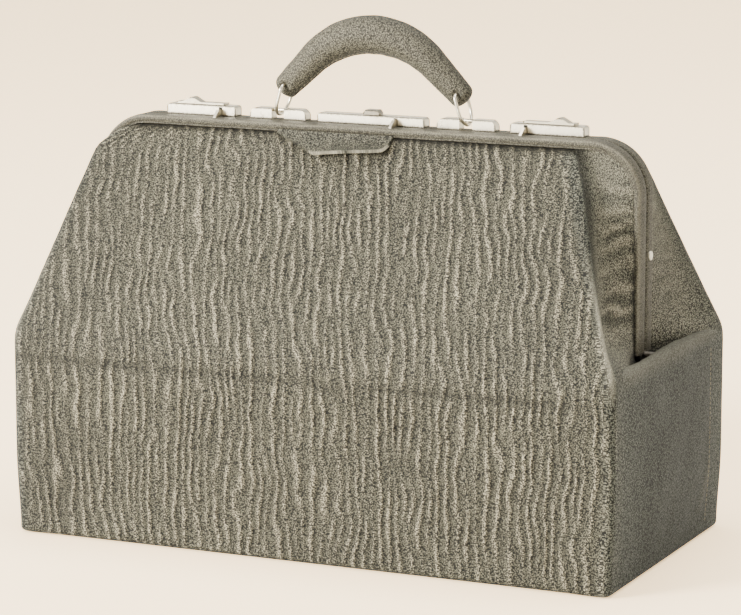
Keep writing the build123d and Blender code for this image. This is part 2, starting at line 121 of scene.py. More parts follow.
def meshFromGrids(name, grids):                # grids share their edges and are sewn into one mesh
    points, faces, start = [], [], 0
    values = {key: [] for key in ("flat", "ridge", "side", "wear", "grime")}
    for grid in grids:
        rows, columns = grid["points"].shape[:2]
        index = start + np.arange(rows * columns).reshape(rows, columns)
        corners = [index[:-1, :-1], index[:-1, 1:], index[1:, 1:], index[1:, :-1]]
        points.append(grid["points"].reshape(-1, 3))
        faces.append(np.stack(corners, axis=-1).reshape(-1, 4))
        for key in values:
            width = (3,) if key == "flat" else ()
            spread = np.broadcast_to(grid.get(key, 0.0), (rows, columns) + width)
            values[key].append(spread.reshape((rows * columns,) + width))
        start += rows * columns
    mesh = bpy.data.meshes.new(name)
    mesh.from_pydata(np.concatenate(points).tolist(), [], np.concatenate(faces).tolist())
    for key, parts in values.items():
        attribute = mesh.attributes.new(key, "FLOAT_VECTOR" if key == "flat" else "FLOAT", "POINT")
        numbers = np.concatenate(parts).astype(np.float32).ravel()
        attribute.data.foreach_set("vector" if key == "flat" else "value", numbers)
    sewn = bmesh.new()
    sewn.from_mesh(mesh)
    bmesh.ops.remove_doubles(sewn, verts=sewn.verts, dist=weldDistance)
    sewn.to_mesh(mesh)
    sewn.free()
    mesh.polygons.foreach_set("use_smooth", [True] * len(mesh.polygons))
    return addPiece(name, mesh)


def faceOutwards(piece, closeEnds=False):
    shape = bmesh.new()
    shape.from_mesh(piece.data)
    if closeEnds:
        bmesh.ops.holes_fill(shape, edges=[e for e in shape.edges if e.is_boundary])
    bmesh.ops.recalc_face_normals(shape, faces=shape.faces)
    shape.to_mesh(piece.data)
    shape.free()


def settle(piece, materials):                  # gives the materials and turns live modifiers into plain mesh
    for material in materials:
        piece.data.materials.append(material)
    plain = bpy.data.meshes.new_from_object(piece.evaluated_get(bpy.context.evaluated_depsgraph_get()))
    piece.modifiers.clear()
    plain.set_sharp_from_angle(angle=sharpAngle)
    piece.data = plain
    plain.name = piece.name
    return piece


# Shader building blocks
def newGroup(name, inputs, outputs):
    group = bpy.data.node_groups.new(name, "ShaderNodeTree")
    for label, kind, value in inputs:
        socket = group.interface.new_socket(label, in_out="INPUT", socket_type=kind)
        if value is not None:
            socket.default_value = value
    for label in outputs:
        group.interface.new_socket(label, in_out="OUTPUT", socket_type="NodeSocketFloat")
    return group, group.nodes.new("NodeGroupInput").outputs, group.nodes.new("NodeGroupOutput").inputs


def addNode(tree, kind, settings=None, **inputs):
    node = tree.nodes.new(kind)
    for key, value in (settings or {}).items():
        setattr(node, key, value)
    for key, value in inputs.items():
        socket = node.inputs[int(key[1:])] if key[0] == "i" and key[1:].isdigit() else node.inputs[key]
        if isinstance(value, bpy.types.NodeSocket):
            tree.links.new(value, socket)
        else:
            socket.default_value = value
    return node


def maths(tree, operation, first, second=0.0):
    return addNode(tree, "ShaderNodeMath", {"operation": operation}, i0=first, i1=second).outputs[0]


def vectorMaths(tree, operation, first, second, output=0):
    node = addNode(tree, "ShaderNodeVectorMath", {"operation": operation}, i0=first, i1=second)
    return node.outputs[output]


def remap(tree, value, span, to=(0.0, 1.0), kind="LINEAR"):
    limits = {"i1": span[0], "i2": span[1], "i3": to[0], "i4": to[1]}
    return addNode(tree, "ShaderNodeMapRange", {"interpolation_type": kind}, Value=value, **limits).outputs[0]


def noise(tree, place, scale, detail, **more):
    node = addNode(tree, "ShaderNodeTexNoise", None, Vector=place, Scale=scale, Detail=detail, **more)
    return node.outputs["Fac"]


def blendColour(tree, share, first, second, mode="MIX"):
    settings = {"data_type": "RGBA", "blend_type": mode}
    return addNode(tree, "ShaderNodeMix", settings, i0=share, i6=first, i7=second).outputs[2]


def readAttribute(tree, name, output="Fac"):
    return addNode(tree, "ShaderNodeAttribute", {"attribute_name": name}).outputs[output]


def flatPlace(tree):
    return readAttribute(tree, "flat", "Vector")


def solidPlace(tree):
    return addNode(tree, "ShaderNodeTexCoord").outputs["Object"]


def newMaterial(name):
    material = bpy.data.materials.new(name)
    material.use_nodes = True
    tree = material.node_tree
    return material, tree, tree.nodes["Principled BSDF"]


def bumped(tree, shader, height, strength, distance):
    bump = addNode(tree, "ShaderNodeBump", None, Strength=strength, Distance=distance, Height=height)
    tree.links.new(bump.outputs["Normal"], shader.inputs["Normal"])


def makeTwoTone(name, look, pattern):          # dark to light over a pattern that also raises the surface
    material, tree, shader = newMaterial(name)
    height = pattern(tree, look)
    tree.links.new(blendColour(tree, height, look["dark"], look["light"]), shader.inputs["Base Color"])
    shader.inputs["Roughness"].default_value = look["roughness"]
    bumped(tree, shader, height, look["bump"], look["depth"])
    return material


def waves(tree, place, look, axis):
    node = addNode(tree, "ShaderNodeTexWave", {"bands_direction": axis}, Vector=place,
                   Scale=look["threads"], Distortion=look["slub"])
    return node.outputs["Fac"]


grainLook = {"pebbles": 560.0, "creases": 260.0, "pebbleShade": 0.55, "fleckSpan": (0.12, 0.46),
             "cloud": 14.0}


def makeHideGrain():                           # pebbles and fine creases of a tanned hide
    inputs = [("Place", "NodeSocketVector", None), ("Pebbles", "NodeSocketFloat", grainLook["pebbles"]),
              ("Creases", "NodeSocketFloat", grainLook["creases"])]
    group, given, out = newGroup("hideGrain", inputs, ["Height", "Fleck", "Cloud"])
    place, pebbles = given["Place"], given["Pebbles"]
    cells = addNode(group, "ShaderNodeTexVoronoi", {"feature": "F1"}, Vector=place, Scale=pebbles)
    pebble = cells.outputs["Distance"]
    between = maths(group, "MULTIPLY", pebble, grainLook["pebbleShade"])
    fleck = maths(group, "SUBTRACT", noise(group, place, pebbles, 2.0), between)
    crease = noise(group, place, given["Creases"], 5.0)
    group.links.new(maths(group, "SUBTRACT", crease, pebble), out["Height"])
    group.links.new(remap(group, fleck, grainLook["fleckSpan"]), out["Fleck"])
    group.links.new(noise(group, place, grainLook["cloud"], 3.0), out["Cloud"])
    return group


hideGrain = makeHideGrain()

hideLook = {
    "valley": fromPrint(71, 69, 57), "ridge": fromPrint(122, 116, 97), "plain": fromPrint(74, 76, 68),
    # the pale colour is for worn cut edges and painted highlights, the darkest one for painted shade
    "paleWearAndHighlight": fromPrint(180, 173, 151), "grime": fromPrint(24, 23, 19),
    "ragged": 0.2, "ridgeSpan": (0.1, 0.95), "speckle": 0.9,
    "cloudSpan": (0.3, 0.7), "cloudTone": (0.86, 1.14),
    "roughness": 0.58, "duller": 0.12, "shinier": 0.06, "specular": 0.16,
    "pebbles": 960.0, "bump": 0.6, "depth": 0.0006,
}
handleLook = dict(hideLook, plain=fromPrint(84, 81, 69), roughness=0.54, speckle=0.78,
                  pebbles=1050.0, depth=0.0005)
bindingLook = dict(hideLook, plain=fromPrint(76, 73, 62), roughness=0.54, speckle=0.65,
                   pebbles=1100.0, depth=0.0004)


def makeHide(name, look):
    material, tree, shader = newMaterial(name)
    grain = addNode(tree, "ShaderNodeGroup", {"node_tree": hideGrain}, Place=flatPlace(tree),
                    Pebbles=look["pebbles"])
    fleck = grain.outputs["Fleck"]
    ragged = maths(tree, "MULTIPLY", maths(tree, "SUBTRACT", fleck, 0.5), look["ragged"])
    height = maths(tree, "ADD", readAttribute(tree, "ridge"), ragged)
    # Ridges take the light colour and valleys the dark one: painted highlight on the ridges, painted shade in
    # the valleys
    raised = remap(tree, height, look["ridgeSpan"], kind="SMOOTHSTEP")
    colour = blendColour(tree, raised, look["valley"], look["ridge"])
    colour = blendColour(tree, readAttribute(tree, "side"), colour, look["plain"])
    speckle = remap(tree, fleck, (0.0, 1.0), (1 - look["speckle"], 1 + look["speckle"]))
    tone = remap(tree, grain.outputs["Cloud"], look["cloudSpan"], look["cloudTone"])
    for factor in (speckle, tone):
        colour = blendColour(tree, 1.0, colour, factor, "MULTIPLY")
    # The pale colour is worn cut edges and painted highlight; the dark colour is painted shade
    for mask, tint in (("wear", "paleWearAndHighlight"), ("grime", "grime")):
        colour = blendColour(tree, readAttribute(tree, mask), colour, look[tint])
    tree.links.new(colour, shader.inputs["Base Color"])
    gloss = (look["roughness"] + look["duller"], look["roughness"] - look["shinier"])
    tree.links.new(remap(tree, height, (0.0, 1.0), gloss), shader.inputs["Roughness"])
    shader.inputs["Specular IOR Level"].default_value = look["specular"]
    bumped(tree, shader, grain.outputs["Height"], look["bump"], look["depth"])
    return material


bodyHide = makeHide("wrinkledHide", hideLook)
handleHide = makeHide("handleHide", handleLook)
bindingHide = makeHide("bindingHide", bindingLook)

clothLook = {"light": fromPrint(150, 132, 100), "dark": fromPrint(104, 90, 66), "threads": 300.0, "slub": 0.6,
             "roughness": 0.9, "bump": 0.4, "depth": 0.0003}


def weave(tree, look):
    place = look["place"](tree)
    return maths(tree, "MULTIPLY", *[waves(tree, place, look, axis) for axis in look["axes"]])


flatCloth = makeTwoTone("liningDrill", dict(clothLook, place=flatPlace, axes="XY"), weave)
solidCloth = makeTwoTone("tubDrill", dict(clothLook, place=solidPlace, axes="XZ"), weave)

metalLook = {
    "nickel": fromPrint(216, 208, 188), "nickelDull": fromPrint(182, 174, 154),
    "slide": fromPrint(186, 178, 158), "slideDull": fromPrint(136, 129, 112),
    "knob": fromPrint(128, 122, 108), "knobDull": fromPrint(84, 80, 70),
    "steel": fromPrint(128, 124, 116), "steelDull": fromPrint(96, 90, 80),
    "bare": fromPrint(34, 31, 25), "edgeWidth": 0.0015, "raggedness": 900.0,
    "plateRoughness": 0.3, "steelRoughness": 0.42, "shinier": 0.06, "duller": 0.12,
    "stains": 160.0, "scratches": 1400.0, "bump": 0.12, "depth": 0.0001,
}


def makeTarnishAndShadeEdges():                           # 1 along the edges of a box between two corners, ragged
    inputs = [("Place", "NodeSocketVector", None), ("Low", "NodeSocketVector", None),
              ("High", "NodeSocketVector", None), ("Width", "NodeSocketFloat", metalLook["edgeWidth"])]
    group, given, out = newGroup("tarnishAndShadeEdges", inputs, ["Mask"])
    place = given["Place"]
    fromLow = vectorMaths(group, "SUBTRACT", place, given["Low"])
    fromHigh = vectorMaths(group, "SUBTRACT", given["High"], place)
    inside = vectorMaths(group, "MINIMUM", fromLow, fromHigh)
    axes = addNode(group, "ShaderNodeSeparateXYZ", None, Vector=inside).outputs
    # A point near an edge is near two of the box's sides, so the middle one of the three distances is small
    nearest = maths(group, "MINIMUM", axes[0], axes[1])
    other = maths(group, "MINIMUM", maths(group, "MAXIMUM", axes[0], axes[1]), axes[2])
    second = maths(group, "MAXIMUM", nearest, other)
    ragged = maths(group, "MULTIPLY", noise(group, place, metalLook["raggedness"], 3.0), 2.0)
    reach = maths(group, "MULTIPLY", given["Width"], ragged)
    group.links.new(remap(group, second, (0.0, reach), (1.0, 0.0), "SMOOTHSTEP"), out["Mask"])
    return group


tarnishAndShadeEdges = makeTarnishAndShadeEdges()


def makeMetal(name, finish, roughness, box=None):
    material, tree, shader = newMaterial(name)
    place = solidPlace(tree)
    cloud = noise(tree, place, metalLook["stains"], 5.0, Roughness=0.65)
    stain = remap(tree, cloud, (0.5, 0.8), kind="SMOOTHSTEP")
    colour = blendColour(tree, stain, metalLook[finish], metalLook[finish + "Dull"])
    if box:
        edgeMark = addNode(tree, "ShaderNodeGroup", {"node_tree": tarnishAndShadeEdges}, Place=place,
                       Low=box[0], High=box[1], Width=metalLook["edgeWidth"])
        # dark ragged edges: partly tarnish, partly painted shade that outlines the plate
        colour = blendColour(tree, edgeMark.outputs["Mask"], colour, metalLook["bare"])
    tree.links.new(colour, shader.inputs["Base Color"])
    gloss = (roughness - metalLook["shinier"], roughness + metalLook["duller"])
    tree.links.new(remap(tree, cloud, (0.3, 0.7), gloss), shader.inputs["Roughness"])
    shader.inputs["Metallic"].default_value = 1.0
    scratch = noise(tree, place, metalLook["scratches"], 2.0)
    bumped(tree, shader, scratch, metalLook["bump"], metalLook["depth"])
    return material


nickelPlate = makeMetal("nickelPlate", "nickel", metalLook["plateRoughness"])
frameSteel = makeMetal("frameSteel", "steel", metalLook["steelRoughness"])

boardLook = {"dark": fromPrint(120, 100, 70), "light": fromPrint(168, 146, 110), "fibres": 420.0,
             "roughness": 0.95, "bump": 0.3, "depth": 0.0002}


def fibres(tree, look):
    return noise(tree, solidPlace(tree), look["fibres"], 4.0)


millboard = makeTwoTone("millboard", boardLook, fibres)
print("materials ready")

# The leather of each half: lower wall, corners, leaning side and its gussets in one skin
skin = {
    "thickness": 0.002, "rowStep": 0.0044, "sideStep": 0.0042, "cornerColumns": 12, "calmColumns": 24,
    "ground": 0.0006, "baseRound": 0.0035, "baseReturn": 0.012, "cornerReach": 0.006, "topReach": 0.005,
    "bendHeight": 0.150, "bendReach": 0.008, "waistRow": 0.1465, "bendSoftness": 0.0022, "cutFade": 0.06,
    "topHeight": frameTop - frameFace + 0.0006, "topDepth": frameDepth - 0.0002,
    "swell": 0.0022, "hemLift": 0.0010, "groove": 0.0018, "wrinkle": 0.0016, "sag": 0.0012,
    "creaseDrop": 0.016, "creaseWander": 0.0016, "creaseWidth": 0.0021, "creaseDepth": 0.0013,
    # painted shade in the crease, under the frame and beside the wrinkles; painted highlight along the fold
    "creaseShade": 0.62, "creaseEven": 0.65, "creaseVary": 0.35, "frameShade": 0.8, "dirt": 0.5,
    "ridgeShadowShift": 0.0022, "cornerWalk": 1.62, "cornerTone": 0.75,
    "foldHighlight": 0.36, "foldColumn": 6, "foldSpread": 2.8, "foldLow": 0.13, "foldHigh": 0.235,
}
halves = {
    "front": {
        "left": 0.208, "right": 0.158, "tuck": 0.2, "overlaps": (0.010, 0.0025),
        "bulge": 0.001, "lean": 0.32, "columnStep": 0.00095, "leftShade": 0.2, "topShade": 0.17,
        "seed": 3, "rearEdge": seamPlace,
    },
    "rear": {
        "left": 0.201, "right": 0.201, "tuck": 0.04, "overlaps": (0.0025, 0.0025),
        "bulge": 0.003, "lean": 0.0, "columnStep": 0.0012, "leftShade": 0.0, "topShade": 0.0,
        "seed": 41, "rearEdge": -seamPlace,
    },
}

# Wavy upright wrinkles, in millimetres; each drift is how far they wander, over which width and height
wrinkles = {
    "drifts": ((5.0, 64, 84), (3.6, 22, 27), (1.1, 8, 12)), "close": 6.6, "wide": 8.8, "leanFrom": 155,
    "sharpness": 2.1, "unbroken": 0.4, "fine": 0.1, "floor": 0.04, "most": 1.2,
}


def wrinkleField(u, v, seed, slope):           # their height, 0 to about 1; u and v in metres
    u, v = u * 1000, v * 1000
    lean = slope * (0.84 - 0.22 * smooth((u + 120) / 300)) * np.maximum(0, v - wrinkles["leanFrom"])
    drift = 0
    for step, (reach, across, along) in enumerate(wrinkles["drifts"]):
        drift = drift + reach * softNoise(u / across, v / along, seed + step)
    close = np.cos(2 * math.pi * (u + lean + drift) / wrinkles["close"])
    wide = np.cos(2 * math.pi * (u + lean + 1.2 * drift + 3) / wrinkles["wide"])
    wave = mix(close, wide, smooth(0.5 + 1.7 * softNoise((u + lean) / 24, v / 48, seed + 3)))
    broken = smooth(0.55 + 1.2 * softNoise((u + lean) / 7, v / 34, seed + 4))
    fine = wrinkles["fine"] * softNoise(u / 3.2, v / 7, seed + 5)
    height = ((wave + 1) / 2) ** wrinkles["sharpness"] * mix(wrinkles["unbroken"], 1, broken)
    return np.clip(height + fine + wrinkles["floor"], 0, wrinkles["most"])


def bendRun(z):                                # how far above the waist bend a height is, eased over the bend
    low, high = skin["bendHeight"] - skin["bendReach"], skin["bendHeight"] + skin["bendReach"]
    eased = (np.clip(z, low, high) - low) ** 2 / (2 * (high - low))
    return np.where(z < high, eased, z - skin["bendHeight"])


def legCentre(z):                              # middle of the frame's face: straight leg, then its arc
    above = np.maximum(0, z - arcZ)
    return arcX + np.sqrt(np.maximum(0, (frameCorner - frameFace / 2) ** 2 - above ** 2))


# Lower ends: rolled top, soft dents and one slanting crease between two places (y, z); painted shade over
# each end, painted highlight along its roll and crease
endLook = {
    "bulge": 0.0035, "swell": 0.0025, "foldRadius": 0.0065, "foldGrow": 0.012,
    "rollTurn": 200, "rollSteps": 13, "lip": 0.008, "dent": 0.0013, "fineDent": 0.0003,
    "grain": 0.86, "shade": 0.42, "rollHighlight": 0.17,
    "creaseFrom": (0.101, 0.075), "creaseTo": (0.064, 0.018), "creaseWidth": 0.0034, "crease": 0.0011,
    "creaseHighlight": 0.14, "flatStart": halfLength + 0.025, "rollStep": 0.0018,
}


def endBulge(z):
    return endLook["bulge"] * mix(0.25, 1, smooth(z / 0.06))


def cornerPlace(z, inset, look, hand):         # plan place of the right front corner, and its rounding
    rise = skin["topHeight"] - skin["bendHeight"]
    run = bendRun(z)
    left = 1 - run / rise                      # share of the lean that is still to come
    x = halfLength - inset - run * (halfLength - look[hand]) / rise + endBulge(z) * left
    y = inset - halfWidth + run * (halfWidth - skin["topDepth"]) / rise - look["bulge"] * left
    overlap = look["overlaps"][hand == "right"] * smooth((0.288 - z) / 0.025)
    cut = np.maximum(0, x - legCentre(z) - overlap - 0.03 * smooth((0.266 - z) / 0.02))
    reach = mix(skin["topReach"], skin["cornerReach"], left)
    return np.stack([x - cut, y], axis=-1), reach, cut


def sideTurn(z, corner, tuck):                 # where a row heads after its corner, and the inner fold
    leg = np.stack([legCentre(z), np.full_like(z, gussetLook["seat"] - frameDepth)], axis=-1)
    span = leg - corner
    length = np.linalg.norm(span, axis=-1, keepdims=True)
    inward = np.stack([-span[:, 1], span[:, 0]], axis=-1) / length
    grown = smooth((z - skin["waistRow"]) / 0.03)[:, None]
    fold = corner + gussetLook["foldShare"] * span + inward * length * tuck * grown
    heading = (fold - corner) / np.linalg.norm(fold - corner, axis=-1, keepdims=True)
    turn = smooth((z - skin["waistRow"]) / 0.022)[:, None]
    heading = mix(np.array([0.0, 1.0]), heading, turn)
    return heading / np.linalg.norm(heading, axis=-1, keepdims=True), fold, leg, length


def rowHeights():
    angles = np.linspace(0, math.pi / 2, 6)
    turnIn = skin["baseRound"] * (1 - np.sin(angles))
    turnUp = skin["ground"] + skin["baseRound"] * (1 - np.cos(angles))
    wall = np.arange(turnUp[-1] + skin["rowStep"], skin["waistRow"] - skin["rowStep"] / 2, skin["rowStep"])
    low = np.concatenate([[skin["ground"]], turnUp, wall, [skin["waistRow"]]])
    inset = np.concatenate([[skin["baseReturn"]], turnIn, np.zeros(len(wall) + 1)])
    slope = (halfWidth - skin["topDepth"]) / (skin["topHeight"] - skin["bendHeight"])
    step = skin["rowStep"] / math.hypot(1, slope)
    high = np.arange(skin["waistRow"] + step, skin["topHeight"], step)
    high = np.append(high[high < skin["topHeight"] - step / 2], skin["topHeight"])
    return np.concatenate([low, high]), np.concatenate([inset, np.zeros(len(high))]), len(low)


def sidePlaces(look, hand, rows, inset, lowCount):
    # One hand of the half, drawn on the right: corner columns, end below the waist, gusset above it
    corner, reach, cut = cornerPlace(rows, inset, look, hand)
    heading, fold, leg, length = sideTurn(rows, corner, look["tuck"])
    heading[:lowCount] = (0.0, 1.0)
    start = (corner - np.stack([reach, 0 * reach], axis=-1))[:, None]
    close = corner + heading * reach[:, None]
    steps = np.linspace(0, 1, skin["cornerColumns"])
    share = steps[None, :, None]
    cornerPlan = start * (1 - share) ** 2 + 2 * corner[:, None] * share * (1 - share)
    cornerPlan = cornerPlan + close[:, None] * share ** 2
    walk = np.broadcast_to(steps, cornerPlan.shape[:2]) * reach[:, None] * skin["cornerWalk"]

    # Lower end with its rolled top
    y0, x0 = close[:lowCount, 1], close[:lowCount, 0]
    count = max(4, int((look["rearEdge"] + halfWidth) / skin["sideStep"]))
    endY = mix(y0[:, None], look["rearEdge"], np.linspace(0, 1, count)[None, :])
    behind = endY - y0[:, None]
    flank = halfLength + endBulge(rows[:lowCount, None]) - inset[:lowCount, None]
    z = np.broadcast_to(rows[:lowCount, None], endY.shape)
    swell = endLook["swell"] * np.sin(math.pi * np.clip(z / waistHeight, 0, 1))
    swell = swell * np.cos(endY / halfWidth * math.pi / 2) ** 2
    endX = mix(x0[:, None], flank, smooth(behind / 0.02)) + swell * smooth(behind / 0.03)
    fromCorner = np.minimum(behind[-1], halfWidth - skin["cornerReach"] - endY[-1])
    grown = smooth(fromCorner / endLook["foldGrow"])
    roll = np.radians(np.linspace(0, endLook["rollTurn"], endLook["rollSteps"])[1:])[:, None]
    radius = endLook["foldRadius"] * grown
    rollX = endX[-1] - radius * (1 - np.cos(roll))
    rollZ = skin["waistRow"] + radius * np.sin(roll)
    end = np.concatenate([
        np.stack([endX, endY, z], axis=-1),
        np.stack([rollX, np.broadcast_to(endY[-1], rollX.shape), rollZ], axis=-1),
        np.stack([rollX[-1:], endY[-1:], rollZ[-1:] - endLook["lip"] * grown], axis=-1),
    ])

    # Upper gusset, folded inwards between the corner and the leg
    g = np.linspace(0, 1, gussetLook["columns"])[None, :, None]
    first, last = close[lowCount - 1:], leg[lowCount - 1:]
    reachOut = heading[lowCount - 1:] * length[lowCount - 1:] * gussetLook["startPull"]
    pull = last + (fold[lowCount - 1:] - last) * gussetLook["legPull"]
    plan = (first[:, None] * (1 - g) ** 3 + 3 * (first + reachOut)[:, None] * g * (1 - g) ** 2
            + 3 * pull[:, None] * g ** 2 * (1 - g) + last[:, None] * g ** 3)
    gussetZ = np.broadcast_to(rows[lowCount - 1:, None], plan.shape[:2])
    gusset = np.concatenate([plan, gussetZ[..., None]], axis=-1)
    return {"plan": cornerPlan, "walk": walk, "end": end, "gusset": gusset, "cut": cut[:, None]}


def frontGrid(look, left, right, rows, rowV, waistV):
    leftPlan, rightPlan = left["plan"] * np.array([-1, 1]), right["plan"]
    # Its columns lean with the wrinkles, and only those near a corner of the frame follow its arc
    share = np.linspace(0, 1, int(2 * halfLength / look["columnStep"]))[None, :]
    low, high = leftPlan[:, :1, 0] - left["cut"], rightPlan[:, :1, 0] + right["cut"]
    x = mix(low, high, share) - look["lean"] * bendRun(rows)[:, None] * (1 - share) * smooth(share / 0.45)
    nearLeft, nearRight = np.exp((low - x) / skin["cutFade"]), np.exp((x - high) / skin["cutFade"])
    x = x + left["cut"] * nearLeft - right["cut"] * nearRight
    middle = np.stack([x, mix(leftPlan[:, :1, 1], rightPlan[:, :1, 1], share)], axis=-1)
    plan = np.concatenate([leftPlan[:, :0:-1], middle, rightPlan[:, 1:]], axis=1)
    columns, turned = plan.shape[1], skin["cornerColumns"]
    z = np.broadcast_to(rows[:, None], plan.shape[:2])
    edge = np.minimum(np.arange(columns), columns - 1 - np.arange(columns))[None, :]
    fade = smooth(edge / skin["calmColumns"])  # no relief where the sides are sewn on
    u = plan[:, :, 0].copy()
    u[:, :turned] = u[:, turned:turned + 1] - left["walk"][:, ::-1]
    u[:, -turned:] = u[:, -turned - 1:-turned] + right["walk"]
    v = np.broadcast_to(rowV[:, None], u.shape)
    under = rowV[-1] - v                       # how far each point is below the frame

    # Main form: swollen, soft at the bend, and lifted a little between its lower corners
    swell = skin["swell"] * np.sin(math.pi * np.clip(rows / skin["topHeight"], 0, 1))[:, None] * fade
    atBend = np.exp(-((z - skin["bendHeight"]) / 0.012) ** 2)
    swell = swell - skin["bendSoftness"] * atBend * smooth(edge / 60)
    lift = skin["hemLift"] * smooth((halfLength - np.abs(plan[:, :, 0])) / 0.05 - 0.2)
    points = np.stack([plan[:, :, 0], plan[:, :, 1] - swell, z + lift * smooth(1 - z / 0.05)], axis=-1)

    # Relief: wrinkles, waist crease, sag, and a groove under the frame
    seed = look["seed"]
    ridge = wrinkleField(u, v, seed, look["lean"])
    # the wrinkles shifted sideways, for the painted shadow beside each one
    beside = wrinkleField(u - skin["ridgeShadowShift"], v, seed, look["lean"])
    creaseV = waistV - skin["creaseDrop"] + skin["creaseWander"] * softNoise(u * 16, v * 0, seed + 8)
    crease = np.exp(-((v - creaseV) / skin["creaseWidth"]) ** 2)
    crease = crease * (skin["creaseEven"] + skin["creaseVary"] * softNoise(u * 40, v * 0, seed + 9))
    sag = skin["sag"] * softNoise(u * 9, v * 13, seed + 10)
    calm = mix(0.5, 1, smooth(under / 0.012))
    relief = skin["wrinkle"] * (ridge - plainRidge) * calm - skin["creaseDepth"] * crease + sag
    relief = relief * fade * smooth(z / 0.006) - skin["groove"] * smooth(1 - under / 0.005)
    points = points + gridNormals(points) * relief[..., None]

    # Tones: painted highlight on the corner fold; painted shade in the crease, under the frame, on the left
    # and near the top; painted shadow beside the wrinkles
    side = skin["cornerTone"] * (1 - smooth((edge - 2) / 16)) + 0 * u
    wear = np.exp(-((edge - skin["foldColumn"]) / skin["foldSpread"]) ** 2)
    wear = wear * smooth((z - skin["foldLow"]) / 0.03) * smooth((skin["foldHigh"] - z) / 0.06)
    grime = skin["frameShade"] * smooth(1 - under / 0.0065) + skin["creaseShade"] * crease
    grime = grime + skin["dirt"] * np.clip(beside - ridge, 0, 1) * fade
    grime = grime + look["leftShade"] * smooth((-0.135 - u) / 0.09)
    grime = grime + look["topShade"] * smooth(1 - under / 0.04) * smooth((u + 0.12) / 0.12)
    return {"points": points, "flat": flatten(u, v), "ridge": ridge - 0.4 * crease, "side": side,
            "wear": skin["foldHighlight"] * wear, "grime": np.clip(grime, 0, 1)}


def nearLine(y, z, first, last, width):        # 1 on a line between two places, fading out beside it
    run, rise = last[0] - first[0], last[1] - first[1]
    along = np.clip(((y - first[0]) * run + (z - first[1]) * rise) / (run ** 2 + rise ** 2), 0, 1)
    away = np.hypot(y - first[0] - along * run, z - first[1] - along * rise)
    return np.exp(-(away / width) ** 2) * np.sin(math.pi * np.clip(along, 0.02, 0.98))


def endGrid(look, points, lowV, sign):
    y, z = points[:, :, 1], points[:, :, 2]
    behind = y - y[:, :1]
    rollV = lowV[-1] + endLook["rollStep"] * np.arange(1, len(points) - len(lowV) + 1)
    u = endLook["flatStart"] + behind
    v = np.broadcast_to(np.concatenate([lowV, rollV])[:, None], u.shape)
    # Dents and the slanting crease, none on the edges
    calm = smooth(behind / 0.02) * smooth(z / 0.02) * smooth((look["rearEdge"] - y) / 0.016)
    dents = endLook["dent"] * softNoise(u * 22 + 7 * sign, v * 26, look["seed"] + 12)
    dents = dents + endLook["fineDent"] * softNoise(u * 120, v * 150, look["seed"] + 13)
    crease = nearLine(y, z, endLook["creaseFrom"], endLook["creaseTo"], endLook["creaseWidth"])
    crease = crease * (look["rearEdge"] > 0)
    dents = dents + endLook["crease"] * crease
    points = points + gridNormals(points) * (dents * calm)[..., None]
    # Painted highlight along the rolled top and on the crease; painted shade over the end, lighter near its
    # front corner
    rolled = smooth((v - lowV[-1] + 0.006) / 0.012) * (v < lowV[-1] + 0.022)
    wear = endLook["rollHighlight"] * rolled * smooth(behind / 0.03) + endLook["creaseHighlight"] * crease
    shade = endLook["shade"] * mix(0.45, 1, smooth(behind / 0.08)) * smooth(behind / 0.02)
    return {"points": points, "flat": flatten(u, v, endLook["grain"]), "ridge": plainRidge + 0 * u,
            "side": mix(skin["cornerTone"], 1.0, smooth(behind / 0.02)), "wear": wear, "grime": shade}


gussetLook = {
    "columns": 46, "flatWidth": 0.09, "gather": 0.0022, "gatherStep": 0.0135, "sharpness": 1.6,
    "rearGather": 0.35, "foldShare": 0.36, "startPull": 0.4, "legPull": 0.72, "seat": 0.0003, "clear": 0.0005,
    "footOut": 0.0095, "footIn": 0.006, "footDrop": 0.012, "pleatHighlight": 0.07,
    "hollowShade": 0.62, "footShade": 0.6, "legShade": 0.85,
}


